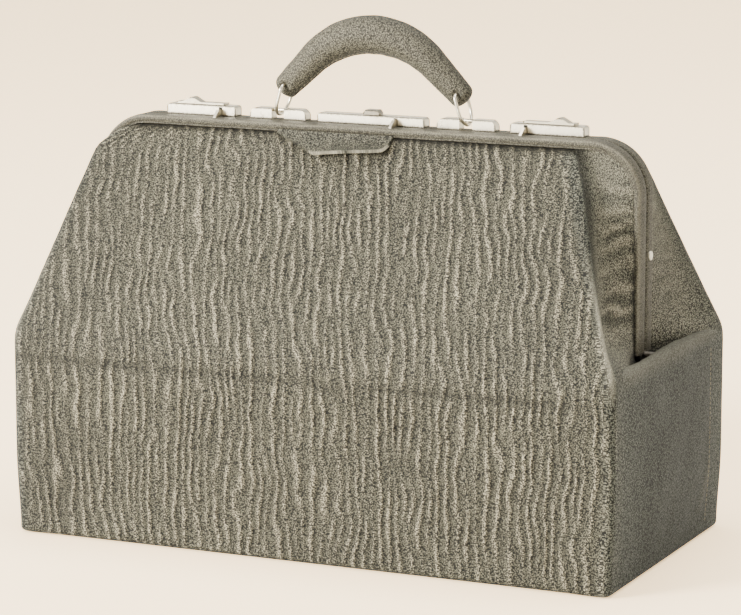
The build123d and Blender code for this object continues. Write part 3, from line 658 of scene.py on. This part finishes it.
def gussetGrid(look, points, highV, sign):
    seed, hollow = look["seed"], look["tuck"] > 0.1
    z = points[:, :, 2]
    g = np.broadcast_to(np.linspace(0, 1, z.shape[1]), z.shape)     # 0 at the corner, 1 at the leg
    u = endLook["flatStart"] + g * gussetLook["flatWidth"]
    v = np.broadcast_to(highV[:, None], u.shape)
    # Gathered towards the leg
    warp = 0.009 * softNoise(z * 34 + 3 * sign, g * 1.6, seed + 15)
    warp = warp + 0.003 * softNoise(z * 95, g * 3.5, seed + 17)
    pleat = 0.5 + 0.5 * np.cos(2 * math.pi * (z + warp + 0.006 * g) / gussetLook["gatherStep"])
    pleat = pleat ** gussetLook["sharpness"]
    strength = smooth((g - 0.12) / 0.6) * smooth((1 - g) / 0.03)
    strength = strength * smooth((z - 0.15) / 0.03) * smooth((0.291 - z) / 0.03)
    strength = strength * (1.0 if hollow else gussetLook["rearGather"])
    strength = strength * np.clip(0.6 + 0.9 * softNoise(z * 52, g * 2.2 + 5, seed + 16), 0.1, 1.2)
    points = points + gridNormals(points) * (gussetLook["gather"] * (pleat - 0.35) * strength)[..., None]
    # Its foot turns out under the end's fold, so that the pocket between them is closed
    foot = points[0]
    beyond = smooth((foot[:, 1] - foot[0, 1] - 0.016) / 0.02)
    foldEdge = halfLength + endLook["bulge"] - 2 * endLook["foldRadius"] - gussetLook["clear"]
    footX = foot[:, 0] + mix(-gussetLook["footIn"], gussetLook["footOut"], beyond)
    footX = np.minimum(footX, np.maximum(foldEdge, foot[:, 0] - gussetLook["footIn"]))
    skirt = np.stack([footX, foot[:, 1], foot[:, 2] - gussetLook["footDrop"]], axis=-1)
    skirt[0] = foot[0]
    # Painted shade in the hollow behind the fold, at the foot and along the leg; painted highlight on the
    # pleats
    shade = gussetLook["hollowShade"] * np.exp(-((g - 0.04) / 0.13) ** 2) * smooth((z - 0.16) / 0.05) * hollow
    shade = shade + gussetLook["footShade"] * smooth(1 - (z - 0.146) / 0.012)
    shade = shade + gussetLook["legShade"] * smooth((g - 0.945) / 0.03)
    fields = {
        "flat": flatten(u, v, endLook["grain"]),
        "ridge": mix(plainRidge + 0.33 * smooth(g / 0.4), pleat, strength),
        "side": 0.5 - 0.25 * strength, "wear": gussetLook["pleatHighlight"] * pleat * strength,
        "grime": np.clip(shade, 0, 1),
    }
    fields = {key: np.concatenate([field[:1], field]) for key, field in fields.items()}
    return {"points": np.concatenate([skirt[None], points]), **fields}


def leatherHalf(look):
    rows, inset, lowCount = rowHeights()
    left, right = [sidePlaces(look, hand, rows, inset, lowCount) for hand in ("left", "right")]
    cornerY = cornerPlace(rows, inset, look, "right")[0][:, 1]
    rowV = np.concatenate([[0], np.cumsum(np.hypot(np.diff(rows), np.diff(cornerY)))])
    upper = [frontGrid(look, left, right, rows, rowV, rowV[lowCount - 1])]
    ends = []
    for places, sign in ((left, -1), (right, 1)):
        ends.append(endGrid(look, places["end"], rowV[:lowCount], sign))
        upper.append(gussetGrid(look, places["gusset"], rowV[lowCount - 1:], sign))
        if sign < 0:
            turnGrid(ends[-1], (-1, 1, 1))
            turnGrid(upper[-1], (-1, 1, 1))
    if look["rearEdge"] < 0:                   # the rear half is the same, turned to face +Y
        for grid in upper + ends:
            turnGrid(grid, (1, -1, 1))
    return upper, ends


def thicken(piece, thickness, offset):
    shell = piece.modifiers.new("thickness", "SOLIDIFY")
    shell.thickness = thickness
    shell.offset = offset
    return shell


def leatherShell(name, grids):
    piece = meshFromGrids(name, grids)
    thicken(piece, skin["thickness"], -1).material_offset = 1          # cloth on the inside
    settle(piece, [bodyHide, flatCloth])
    print(name, "has", sum(len(p.vertices) - 2 for p in piece.data.polygons), "triangles")
    return piece


# Stitches: short lengths of thread laid along a path
stitch = {
    "spacing": 0.0036, "length": 0.0027, "thickness": 0.0008, "fromEdge": 0.0034, "low": 0.012, "high": 0.138,
    "endPlaces": 60, "seamAngle": 0.22, "gripShare": 0.84, "gripPlaces": 90,
}


def makeStitchRow():                           # node tree that lays stitches along the edges of a mesh
    tree = bpy.data.node_groups.new("stitchRow", "GeometryNodeTree")
    kinds = {"Path": "NodeSocketGeometry", "Spacing": "NodeSocketFloat", "Length": "NodeSocketFloat",
             "Thickness": "NodeSocketFloat", "Thread": "NodeSocketMaterial"}
    sockets = {}
    for label, kind in kinds.items():
        sockets[label] = tree.interface.new_socket(label, in_out="INPUT", socket_type=kind).identifier
    tree.interface.new_socket("Stitches", in_out="OUTPUT", socket_type="NodeSocketGeometry")
    given, out = tree.nodes.new("NodeGroupInput").outputs, tree.nodes.new("NodeGroupOutput")
    line = addNode(tree, "GeometryNodeMeshToCurve", None, Mesh=given["Path"]).outputs[0]
    holes = addNode(tree, "GeometryNodeCurveToPoints", {"mode": "LENGTH"}, Curve=line,
                    Length=given["Spacing"])
    along = addNode(tree, "FunctionNodeAlignRotationToVector", {"axis": "Z"}, Vector=holes.outputs["Tangent"])
    bead = addNode(tree, "GeometryNodeMeshUVSphere", None, Segments=8, Rings=6, Radius=0.5)
    soft = addNode(tree, "GeometryNodeSetShadeSmooth", None, Geometry=bead.outputs["Mesh"])
    thick = given["Thickness"]
    size = addNode(tree, "ShaderNodeCombineXYZ", None, X=thick, Y=thick, Z=given["Length"])
    laid = addNode(tree, "GeometryNodeInstanceOnPoints", None, Points=holes.outputs["Points"],
                   Instance=soft.outputs[0], Rotation=along.outputs[0], Scale=size.outputs[0])
    real = addNode(tree, "GeometryNodeRealizeInstances", None, Geometry=laid.outputs[0])
    sewn = addNode(tree, "GeometryNodeSetMaterial", None, Geometry=real.outputs[0], Material=given["Thread"])
    tree.links.new(sewn.outputs[0], out.inputs[0])
    return tree, sockets


threadLook = {"light": fromPrint(150, 141, 116), "dark": fromPrint(92, 86, 68), "threads": 700.0, "slub": 0.0,
              "roughness": 0.85, "bump": 0.5, "depth": 0.0002}


def ply(tree, look):
    return waves(tree, solidPlace(tree), look, "DIAGONAL")


linenThread = makeTwoTone("linenThread", threadLook, ply)
stitchRow, stitchSockets = makeStitchRow()


def surfaceOf(piece):
    places = [v.co for v in piece.data.vertices]
    return BVHTree.FromPolygons(places, [p.vertices[:] for p in piece.data.polygons])


def sewAlong(name, paths):                     # each path is a list of places on the leather
    places = [place for path in paths for place in path]
    starts = np.cumsum([0] + [len(path) for path in paths])
    edges = [(i, i + 1) for start, path in zip(starts, paths) for i in range(start, start + len(path) - 1)]
    mesh = bpy.data.meshes.new(name)
    mesh.from_pydata(places, edges, [])
    piece = addPiece(name, mesh)
    row = piece.modifiers.new("stitches", "NODES")
    row.node_group = stitchRow
    for label in ("Spacing", "Length", "Thickness"):
        row[stitchSockets[label]] = stitch[label.lower()]
    row[stitchSockets["Thread"]] = linenThread
    return settle(piece, [])


def endSeams(piece):                           # upright rows beside the rear edge of each end
    surface = surfaceOf(piece)
    paths = []
    for sign in (-1, 1):
        path = []
        for z in np.linspace(stitch["low"], stitch["high"], stitch["endPlaces"]):
            start = Vector((sign * 2 * halfLength, seamPlace - stitch["fromEdge"], z))
            path.append(surface.ray_cast(start, Vector((-sign, 0, 0)))[0])
        paths.append(path)
    return paths


frontUpper, frontEnds = leatherHalf(halves["front"])
rearUpper, rearEnds = leatherHalf(halves["rear"])

endLeather = leatherShell("endLeather", frontEnds)
endStitches = sewAlong("endStitches", endSeams(endLeather))
for piece in (endLeather, endStitches):
    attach(piece, "body")
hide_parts("left_end", "right_end")


frontLeather = leatherShell("frontLeather", frontUpper)
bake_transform(frontLeather)
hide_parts("front_wall", "front_panel", "front_left_gusset", "front_right_gusset")

rearLeather = leatherShell("rearLeather", rearUpper + rearEnds)
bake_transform(rearLeather)
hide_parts("rear_wall", "rear_panel", "rear_left_gusset", "rear_right_gusset")

# Binding: leather rolled over the top and face of each half-frame
binding = {
    "bead": 0.0011, "beadWidth": 0.0026, "round": 0.0022, "bevel": 0.0008, "gap": 0.0002,
    "recess": 0.0008, "sideRow": 0.006, "footDrop": 0.0065, "arcSteps": 22, "topSteps": 65, "legSteps": 44,
    "loose": 0.0003, "wear": 0.16, "highlightSpread": 0.12,
    "highlightPlace": 0.0022, "highlightWidth": 0.0008, "highlightDepth": 0.0015,
}


def archPath():                                # places and outward directions along the frame's face
    places, outward = [], []
    legX, topZ, radius = legOutside - frameFace / 2, frameTop - frameFace / 2, frameCorner - frameFace / 2
    for z in np.linspace(legFoot - binding["footDrop"], arcZ, binding["legSteps"], endpoint=False):
        places.append((-legX, z))
        outward.append((-1, 0))
    for turn in np.linspace(0, math.pi / 2, binding["arcSteps"], endpoint=False):
        places.append((-arcX - radius * math.cos(turn), arcZ + radius * math.sin(turn)))
        outward.append((-math.cos(turn), math.sin(turn)))
    for x in np.linspace(-arcX, 0, binding["topSteps"], endpoint=False):
        places.append((x, topZ))
        outward.append((0, 1))
    places, outward = np.array(places), np.array(outward, float)
    mirrored = np.array([-1, 1])
    places = np.concatenate([places, [(0, topZ)], places[::-1] * mirrored])
    outward = np.concatenate([outward, [(0, 1)], outward[::-1] * mirrored])
    return places, outward


def bindingProfile():                          # closed outline: outward, then depth from the parting line
    half, front, bead = frameFace / 2, frameDepth, binding["bead"]
    curve, bevel, recess = binding["round"], binding["bevel"], binding["recess"]
    inside, back = recess - half, binding["gap"] + recess           # the steel shows here
    outline = [(inside, back), (half - bevel, back), (half, back + bevel)]
    outline += [(half, binding["sideRow"]), (half, front - curve)]
    for turn in np.linspace(0, math.pi / 2, 7)[1:]:
        across = half - curve + curve * math.cos(turn)
        outline.append((across, front - curve + (curve + bead) * math.sin(turn)))
    for turn in np.linspace(0, math.pi / 2, 6)[1:]:
        outline.append((half - curve - binding["beadWidth"] * math.sin(turn), front + bead * math.cos(turn)))
    outline += [(-half, front), (-half, front - recess)]
    outline += [(inside, front - 2 * recess), (inside, front / 2), (inside, back)]
    return np.array(outline)


def bindingHalf(name, sign, seed):
    places, outward = archPath()
    outline = bindingProfile()
    s, a = np.broadcast_arrays(runLengths(places)[:, None], runLengths(outline)[None, :])
    loose = binding["loose"] * softNoise(s * 60, a * 90, seed) * (outline[None, :, 1] > frameDepth * 0.3)
    x = places[:, None, 0] + outward[:, None, 0] * (outline[None, :, 0] + loose)
    z = places[:, None, 1] + outward[:, None, 1] * (outline[None, :, 0] + loose)
    y = np.broadcast_to(sign * outline[None, :, 1], x.shape)
    # Painted highlight along the bead of the binding
    bright = np.exp(-((outline[:, 0] - binding["highlightPlace"]) / binding["highlightWidth"]) ** 2)
    bright = bright * (outline[:, 1] > frameDepth - binding["highlightDepth"])
    wear = bright[None, :] * (binding["wear"] + binding["highlightSpread"] * softNoise(s * 45, s * 0, seed + 1))
    grid = {"points": np.stack([x, y, z], axis=-1), "flat": flatten(s, a), "ridge": plainRidge + 0 * s,
            "side": 1 + 0 * s, "wear": wear}
    if sign > 0:
        turnGrid(grid, (1, 1, 1))
    piece = meshFromGrids(name, [grid])
    faceOutwards(piece, closeEnds=True)
    return settle(piece, [bindingHide])


for name, half, sign, seed in (("frontBinding", "front_frame", -1, 61), ("rearBinding", "rear_frame", 1, 67)):
    piece = bindingHalf(name, sign, seed)
    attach(piece, half)
    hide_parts(half + "_binding")
print("bindings ready")

# Bottom of the tub, a little inside the rounded lower edge
base = {"inset": 0.0045, "lift": 0.0002, "thickness": 0.0022, "corner": 0.012, "steps": 10,
        "tones": {"ridge": plainRidge, "side": 1.0, "wear": 0.0, "grime": 0.0}}


def makeBase():
    outline = []
    corner = base["corner"]
    x, y = halfLength - base["inset"] - corner, halfWidth - base["inset"] - corner
    for quarter, (sx, sy) in enumerate(((1, 1), (-1, 1), (-1, -1), (1, -1))):
        for turn in np.linspace(0, math.pi / 2, base["steps"]) + quarter * math.pi / 2:
            outline.append((sx * x + corner * math.cos(turn), sy * y + corner * math.sin(turn), base["lift"]))
    sheet = bmesh.new()
    lower = sheet.faces.new([sheet.verts.new(place) for place in outline])
    lower.normal_flip()
    raised = bmesh.ops.extrude_face_region(sheet, geom=[lower])["geom"]
    upper = [part for part in raised if isinstance(part, bmesh.types.BMVert)]
    bmesh.ops.translate(sheet, verts=upper, vec=(0, 0, base["thickness"]))
    bmesh.ops.recalc_face_normals(sheet, faces=sheet.faces)
    mesh = bpy.data.meshes.new("baseLeather")
    sheet.to_mesh(mesh)
    sheet.free()
    for key, value in base["tones"].items():
        mesh.attributes.new(key, "FLOAT", "POINT").data.foreach_set("value", [value] * len(mesh.vertices))
    flat = mesh.attributes.new("flat", "FLOAT_VECTOR", "POINT")
    flat.data.foreach_set("vector", [c for v in mesh.vertices for c in v.co])
    return settle(addPiece("baseLeather", mesh), [bodyHide])


baseLeather = makeBase()
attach(baseLeather, "body")
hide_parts("bottom_panel")

# Padded handle, drawn along the arc of its solid; sizes at its middle, half way, the arc's end and the tip
gripLow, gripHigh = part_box("handle_grip")
gripMiddle = (gripLow.y + gripHigh.y) / 2
grip = {
    "arcRadius": 0.067, "arcAngle": math.radians(44), "endRun": 0.037, "apexHalf": 0.01375,
    "steps": 150, "around": 48, "endRound": 0.0065, "endPower": 2.6,
    "thickness": (0.0275, 0.026, 0.0222, 0.0175), "depth": (0.026, 0.0246, 0.0209, 0.0146),
    "holeSetback": 0.0077, "holeWidth": 0.0026, "holeDepth": 0.3, "holeShade": 0.8,
    "welt": 0.0008, "weltAngle": 0.1, "ripple": 0.00035, "rippleRadius": 0.013,
    "shade": 0.28, "flatAround": 0.012,
}
gripArc = grip["arcRadius"] * grip["arcAngle"]
gripReach = gripArc + grip["endRun"]


def gripPath(share):                           # share runs from -1 at the left tip to 1 at the right tip
    walk = abs(share) * gripReach
    centreZ = gripHigh.z - grip["apexHalf"] - grip["arcRadius"]
    turn = min(walk / grip["arcRadius"], grip["arcAngle"])
    straight = max(0.0, walk - gripArc)
    x = grip["arcRadius"] * math.sin(turn) + straight * math.cos(turn)
    z = centreZ + grip["arcRadius"] * math.cos(turn) - straight * math.sin(turn)
    return math.copysign(x, share), z, math.copysign(turn, share), walk


def makeGrip():
    marks = [0, gripArc / 2, gripArc, gripReach]
    angle = np.linspace(0, 2 * math.pi, grip["around"] + 1)
    points, flat = [], []
    for share in np.sin(np.linspace(-1, 1, grip["steps"]) * math.pi / 2):
        x, z, turn, walk = gripPath(share)
        tall = np.interp(walk, marks, grip["thickness"]) / 2
        deep = np.interp(walk, marks, grip["depth"]) / 2
        tip = max(0.0, walk - gripReach + grip["endRound"]) / grip["endRound"]
        closing = math.sqrt(max(0.0, 1 - tip ** grip["endPower"]))
        up = np.cos(angle) * tall * closing
        out = np.sin(angle) * deep * closing
        welt = grip["welt"] * np.exp(-(np.abs(angle - math.pi) / grip["weltAngle"]) ** 2) * closing
        wave = grip["ripple"] * softNoise(share * 9 + 0 * angle, angle * 1.5, 81) * closing
        up = up * (1 + wave / grip["rippleRadius"]) - welt
        points.append(np.stack([x + np.sin(turn) * up, gripMiddle - out, z + np.cos(turn) * up], axis=-1))
        flat.append(flatten(share * gripReach + 0 * angle, angle * grip["flatAround"]))
    points = np.array(points)
    points[:, -1] = points[:, 0]
    # Dimples where the rings enter, with painted shade in them; painted shade also along the grip's top and
    # bottom
    grime = np.broadcast_to(grip["shade"] * np.abs(np.cos(angle)) ** 3, points.shape[:2])
    for sign in (-1, 1):
        x, z = gripPath(sign * (1 - grip["holeSetback"] / gripReach))[:2]
        dent = np.exp(-(np.hypot(points[:, :, 0] - x, points[:, :, 2] - z) / grip["holeWidth"]) ** 2)
        points[:, :, 1] += (gripMiddle - points[:, :, 1]) * grip["holeDepth"] * dent
        grime = np.maximum(grime, grip["holeShade"] * dent)
    grid = {"points": points, "flat": np.array(flat), "ridge": plainRidge, "side": 1.0, "grime": grime}
    piece = meshFromGrids("handleGrip", [grid])
    faceOutwards(piece)
    return settle(piece, [handleHide])


def gripSeam(piece):                           # a row on the front of the welt, under the grip
    surface = surfaceOf(piece)
    path = []
    for share in np.linspace(-stitch["gripShare"], stitch["gripShare"], stitch["gripPlaces"]):
        x, z, turn = gripPath(share)[:3]
        down = Vector((-math.sin(turn), -stitch["seamAngle"], -math.cos(turn))).normalized()
        path.append(surface.ray_cast(Vector((x, gripMiddle, z)), down)[0])
    return path


handleGrip = makeGrip()
gripStitches = sewAlong("gripStitches", [gripSeam(handleGrip)])
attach(gripStitches, "handle")
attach(handleGrip, "handle")
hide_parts("handle_grip")
print("handle ready")

# Pull tab: a soft tongue of leather that lifts away from the panel
# Reach and flare are given at shares of its length
tab = {
    "left": -0.065, "right": 0.0255, "columns": 90, "rows": 22, "thickness": 0.0022, "offset": 0.4,
    "proud": 0.0012, "rise": 0.0006,
    "reach": ([0, 0.08, 0.38, 0.93, 0.975, 1.0], [0.003, 0.0065, 0.0205, 0.0172, 0.0158, 0.0105]),
    "flare": ([0, 0.3, 0.6, 1.0], [0.1, 0.42, 0.62, 0.78]),
    "ripple": 0.0007, "edgeWear": 0.24, "edgeSpread": 0.3, "shade": 0.3,
}


def makeTab():
    a = np.linspace(0, 1, tab["columns"])[None, :]
    b = np.linspace(0, 1, tab["rows"])[:, None]
    reach = np.interp(a, *tab["reach"])
    run = b * reach
    panelSlope = math.atan2(halfWidth - frameDepth, skin["topHeight"] - skin["bendHeight"])
    lifted = panelSlope + np.interp(a, *tab["flare"]) * smooth(b * 1.15 - 0.1)
    stepOut = np.sin(lifted) * reach / (tab["rows"] - 1)
    stepDown = np.cos(lifted) * reach / (tab["rows"] - 1)
    y = -frameDepth - tab["proud"] - np.cumsum(stepOut, axis=0)
    z = skin["topHeight"] - np.cumsum(stepDown, axis=0) + tab["rise"]
    x = mix(tab["left"], tab["right"], a) + 0 * b
    ripple = tab["ripple"] * softNoise(x * 70, run * 60, 91) * smooth(b * 2)
    edge = smooth((b - 0.9) / 0.1) * smooth((a - 0.3) / 0.08)
    edgeMark = np.clip(tab["edgeWear"] + tab["edgeSpread"] * softNoise(x * 110, run * 40, 93), 0, 1)
    # Painted shade over the tab, except along its lower edge, where the cut edge is pale and worn
    grid = {"points": np.stack([x, y - ripple, z], axis=-1), "flat": flatten(x, run), "side": 0.35 + 0 * x,
            "ridge": 0.35 + 0.25 * softNoise(x * 160, run * 90, 92), "wear": edge * edgeMark,
            "grime": tab["shade"] * (1 - edge)}
    piece = meshFromGrids("pullTab", [{key: field[::-1] for key, field in grid.items()}])
    thicken(piece, tab["thickness"], tab["offset"])
    return settle(piece, [bodyHide])


pullTab = makeTab()
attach(pullTab, "front_frame")
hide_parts("front_tab")
print("tab ready")

# Finishes of the solids that stay; plates with dark ragged edges, partly tarnish and partly painted shade,
# get a material each
finishes = {
    nickelPlate: ("leg_rivets", "left_ring", "right_ring",
                  "left_catch_keeper", "right_catch_keeper", "lock_keeper"),
    frameSteel: ("front_frame_bar", "rear_frame_bar", "left_hinge_rivet", "right_hinge_rivet"),
    solidCloth: ("lining",),
    millboard: ("base_board",),
}
plates = {
    "nickel": ("left_staple", "right_staple", "left_catch_case", "right_catch_case", "lock_case"),
    "slide": ("left_catch_slide", "right_catch_slide"),
    "knob": ("lock_slide",),
}
for finish, names in plates.items():
    for name in names:
        words = name.split("_")
        title = words[0] + "".join(word.capitalize() for word in words[1:]) + "Plate"
        corners = [tuple(corner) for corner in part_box(name)]
        finishes[makeMetal(title, finish, metalLook["plateRoughness"], corners)] = (name,)
for material, names in finishes.items():
    for name in names:
        cadNodes[name].data.materials.clear()
        cadNodes[name].data.materials.append(material)

# Round paper floor that curves up far outside every camera
studio = {
    "paper": fromPrint(251, 229, 192), "bounce": fromPrint(236, 231, 222), "glow": fromPrint(255, 218, 162),
    "glowStrength": 1.5, "roughness": 0.95, "specular": 0.1,
    "flat": 4.4, "radius": 1.4, "high": 3.0, "segments": 72, "rings": 14, "weld": 1e-4,
}


def makePaper():                               # looks warm in the picture, but throws plain light on the bag
    material, tree, shader = newMaterial("studioPaper")
    seen = addNode(tree, "ShaderNodeLightPath").outputs["Is Camera Ray"]
    tree.links.new(blendColour(tree, seen, studio["bounce"], studio["paper"]), shader.inputs["Base Color"])
    shader.inputs["Emission Color"].default_value = studio["glow"]
    tree.links.new(maths(tree, "MULTIPLY", seen, studio["glowStrength"]), shader.inputs["Emission Strength"])
    shader.inputs["Roughness"].default_value = studio["roughness"]
    shader.inputs["Specular IOR Level"].default_value = studio["specular"]
    return material


def makeBowl():
    flat, radius = studio["flat"], studio["radius"]
    profile = [(0.0, 0.0), (flat / 3, 0.0), (flat, 0.0)]
    for turn in np.linspace(0, math.pi / 2, studio["rings"])[1:]:
        profile.append((flat + radius * math.sin(turn), radius * (1 - math.cos(turn))))
    profile.append((profile[-1][0], studio["high"]))
    bowl = bmesh.new()
    points = [bowl.verts.new((reach, 0, height)) for reach, height in profile]
    for first, last in zip(points, points[1:]):
        bowl.edges.new((first, last))
    bmesh.ops.spin(bowl, geom=bowl.verts[:] + bowl.edges[:], cent=(0, 0, 0), axis=(0, 0, 1),
                   angle=2 * math.pi, steps=studio["segments"])
    bmesh.ops.remove_doubles(bowl, verts=bowl.verts, dist=studio["weld"])
    bmesh.ops.recalc_face_normals(bowl, faces=bowl.faces)
    if sum(face.normal.z for face in bowl.faces) < 0:
        bmesh.ops.reverse_faces(bowl, faces=bowl.faces)
    mesh = bpy.data.meshes.new("studioBowl")
    bowl.to_mesh(mesh)
    bowl.free()
    mesh.polygons.foreach_set("use_smooth", [True] * len(mesh.polygons))
    mesh.materials.append(makePaper())
    return addPiece("studioBowl", mesh)


makeBowl()

lights = {
    "key": {"place": (-2.3, -2.9, 1.2), "aim": (0, 0, 0.15), "size": 1.3, "power": 590},
    "top": {"place": (0.2, 0.6, 3.4), "aim": (0, 2.4, 0.2), "size": 3.0, "power": 250},
}
lightColour = (1.0, 0.97, 0.92)
for name, look in lights.items():
    lamp = bpy.data.lights.new(name, "AREA")
    lamp.size = look["size"]
    lamp.energy = look["power"]
    lamp.color = lightColour
    light = addPiece(name, lamp)
    light.location = look["place"]
    light.rotation_euler = (Vector(look["aim"]) - Vector(look["place"])).to_track_quat("-Z", "Y").to_euler()

# Air: brighter towards one side
air = {"shade": (0.5, 0.6, 0.68, 1), "glow": (1.08, 1.08, 1.03, 1),
       "towards": (-0.62, -0.42, 0.66), "span": (-0.7, 0.8)}
world = bpy.data.worlds.new("studioAir")
bpy.context.scene.world = world
world.use_nodes = True
airTree = world.node_tree
direction = addNode(airTree, "ShaderNodeTexCoord").outputs["Generated"]
facing = vectorMaths(airTree, "DOT_PRODUCT", direction, air["towards"], "Value")
colour = blendColour(airTree, remap(airTree, facing, air["span"]), air["shade"], air["glow"])
airTree.links.new(colour, airTree.nodes["Background"].inputs["Color"])

# Camera fitted to the photograph's frame; focal length and middle in pixels
shot = {
    "azimuth": 24.32, "elevation": 10.65, "distance": 2.53356, "target": (0, 0, 0.160),
    "focal": 3496.74, "middle": (369.28, 314.21), "width": 741, "height": 615, "sensor": 36,
}
turn, lift = math.radians(shot["azimuth"]), math.radians(shot["elevation"])
backward = Vector((math.sin(turn) * math.cos(lift), -math.cos(turn) * math.cos(lift), math.sin(lift)))
lens = bpy.data.cameras.new("shot")
lens.sensor_width = shot["sensor"]
lens.lens = shot["focal"] / shot["width"] * lens.sensor_width
lens.shift_x = (shot["width"] / 2 - shot["middle"][0]) / shot["width"]
lens.shift_y = (shot["middle"][1] - shot["height"] / 2) / shot["width"]
camera = addPiece("shot", lens)
camera.location = Vector(shot["target"]) + backward * shot["distance"]
camera.rotation_euler = (-backward).to_track_quat("-Z", "Y").to_euler()
bpy.context.scene.camera = camera
print("studio ready")
